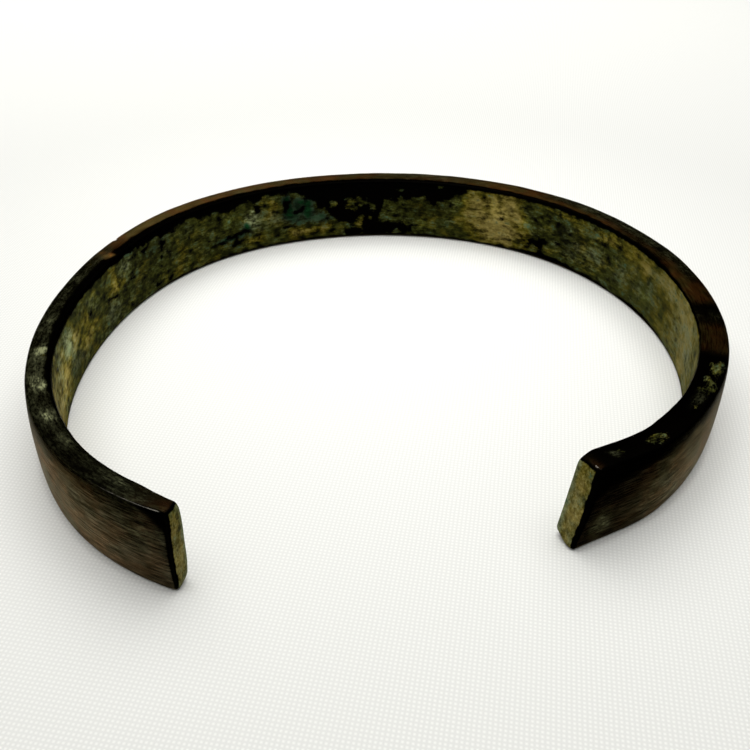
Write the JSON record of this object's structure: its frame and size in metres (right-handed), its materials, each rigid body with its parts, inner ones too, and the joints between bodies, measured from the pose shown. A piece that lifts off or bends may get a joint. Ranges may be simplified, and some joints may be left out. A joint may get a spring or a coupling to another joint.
{
  "type": "cuff bracelet",
  "caption": "Open cuff bracelet bent from a flat metal bar standing on edge, with plain cut ends either side of a wide gap.",
  "frame": {"origin": "below the middle of the bracelet's box, at the height of its lower edge", "axes": "+Z along the wearer's arm, up as the bracelet lies on its edge; the gap between the tips faces -Y; X across the gap"},
  "size_m": [0.0662, 0.0608, 0.008],
  "materials": {
    "patinated_metal": "worn dark brown skin with a mottled olive, tan and grey-green patina on the inner face and the ends"
  },
  "bodies": {
    "root": {"cuff": "patinated_metal"}
  },
  "joints": []
}
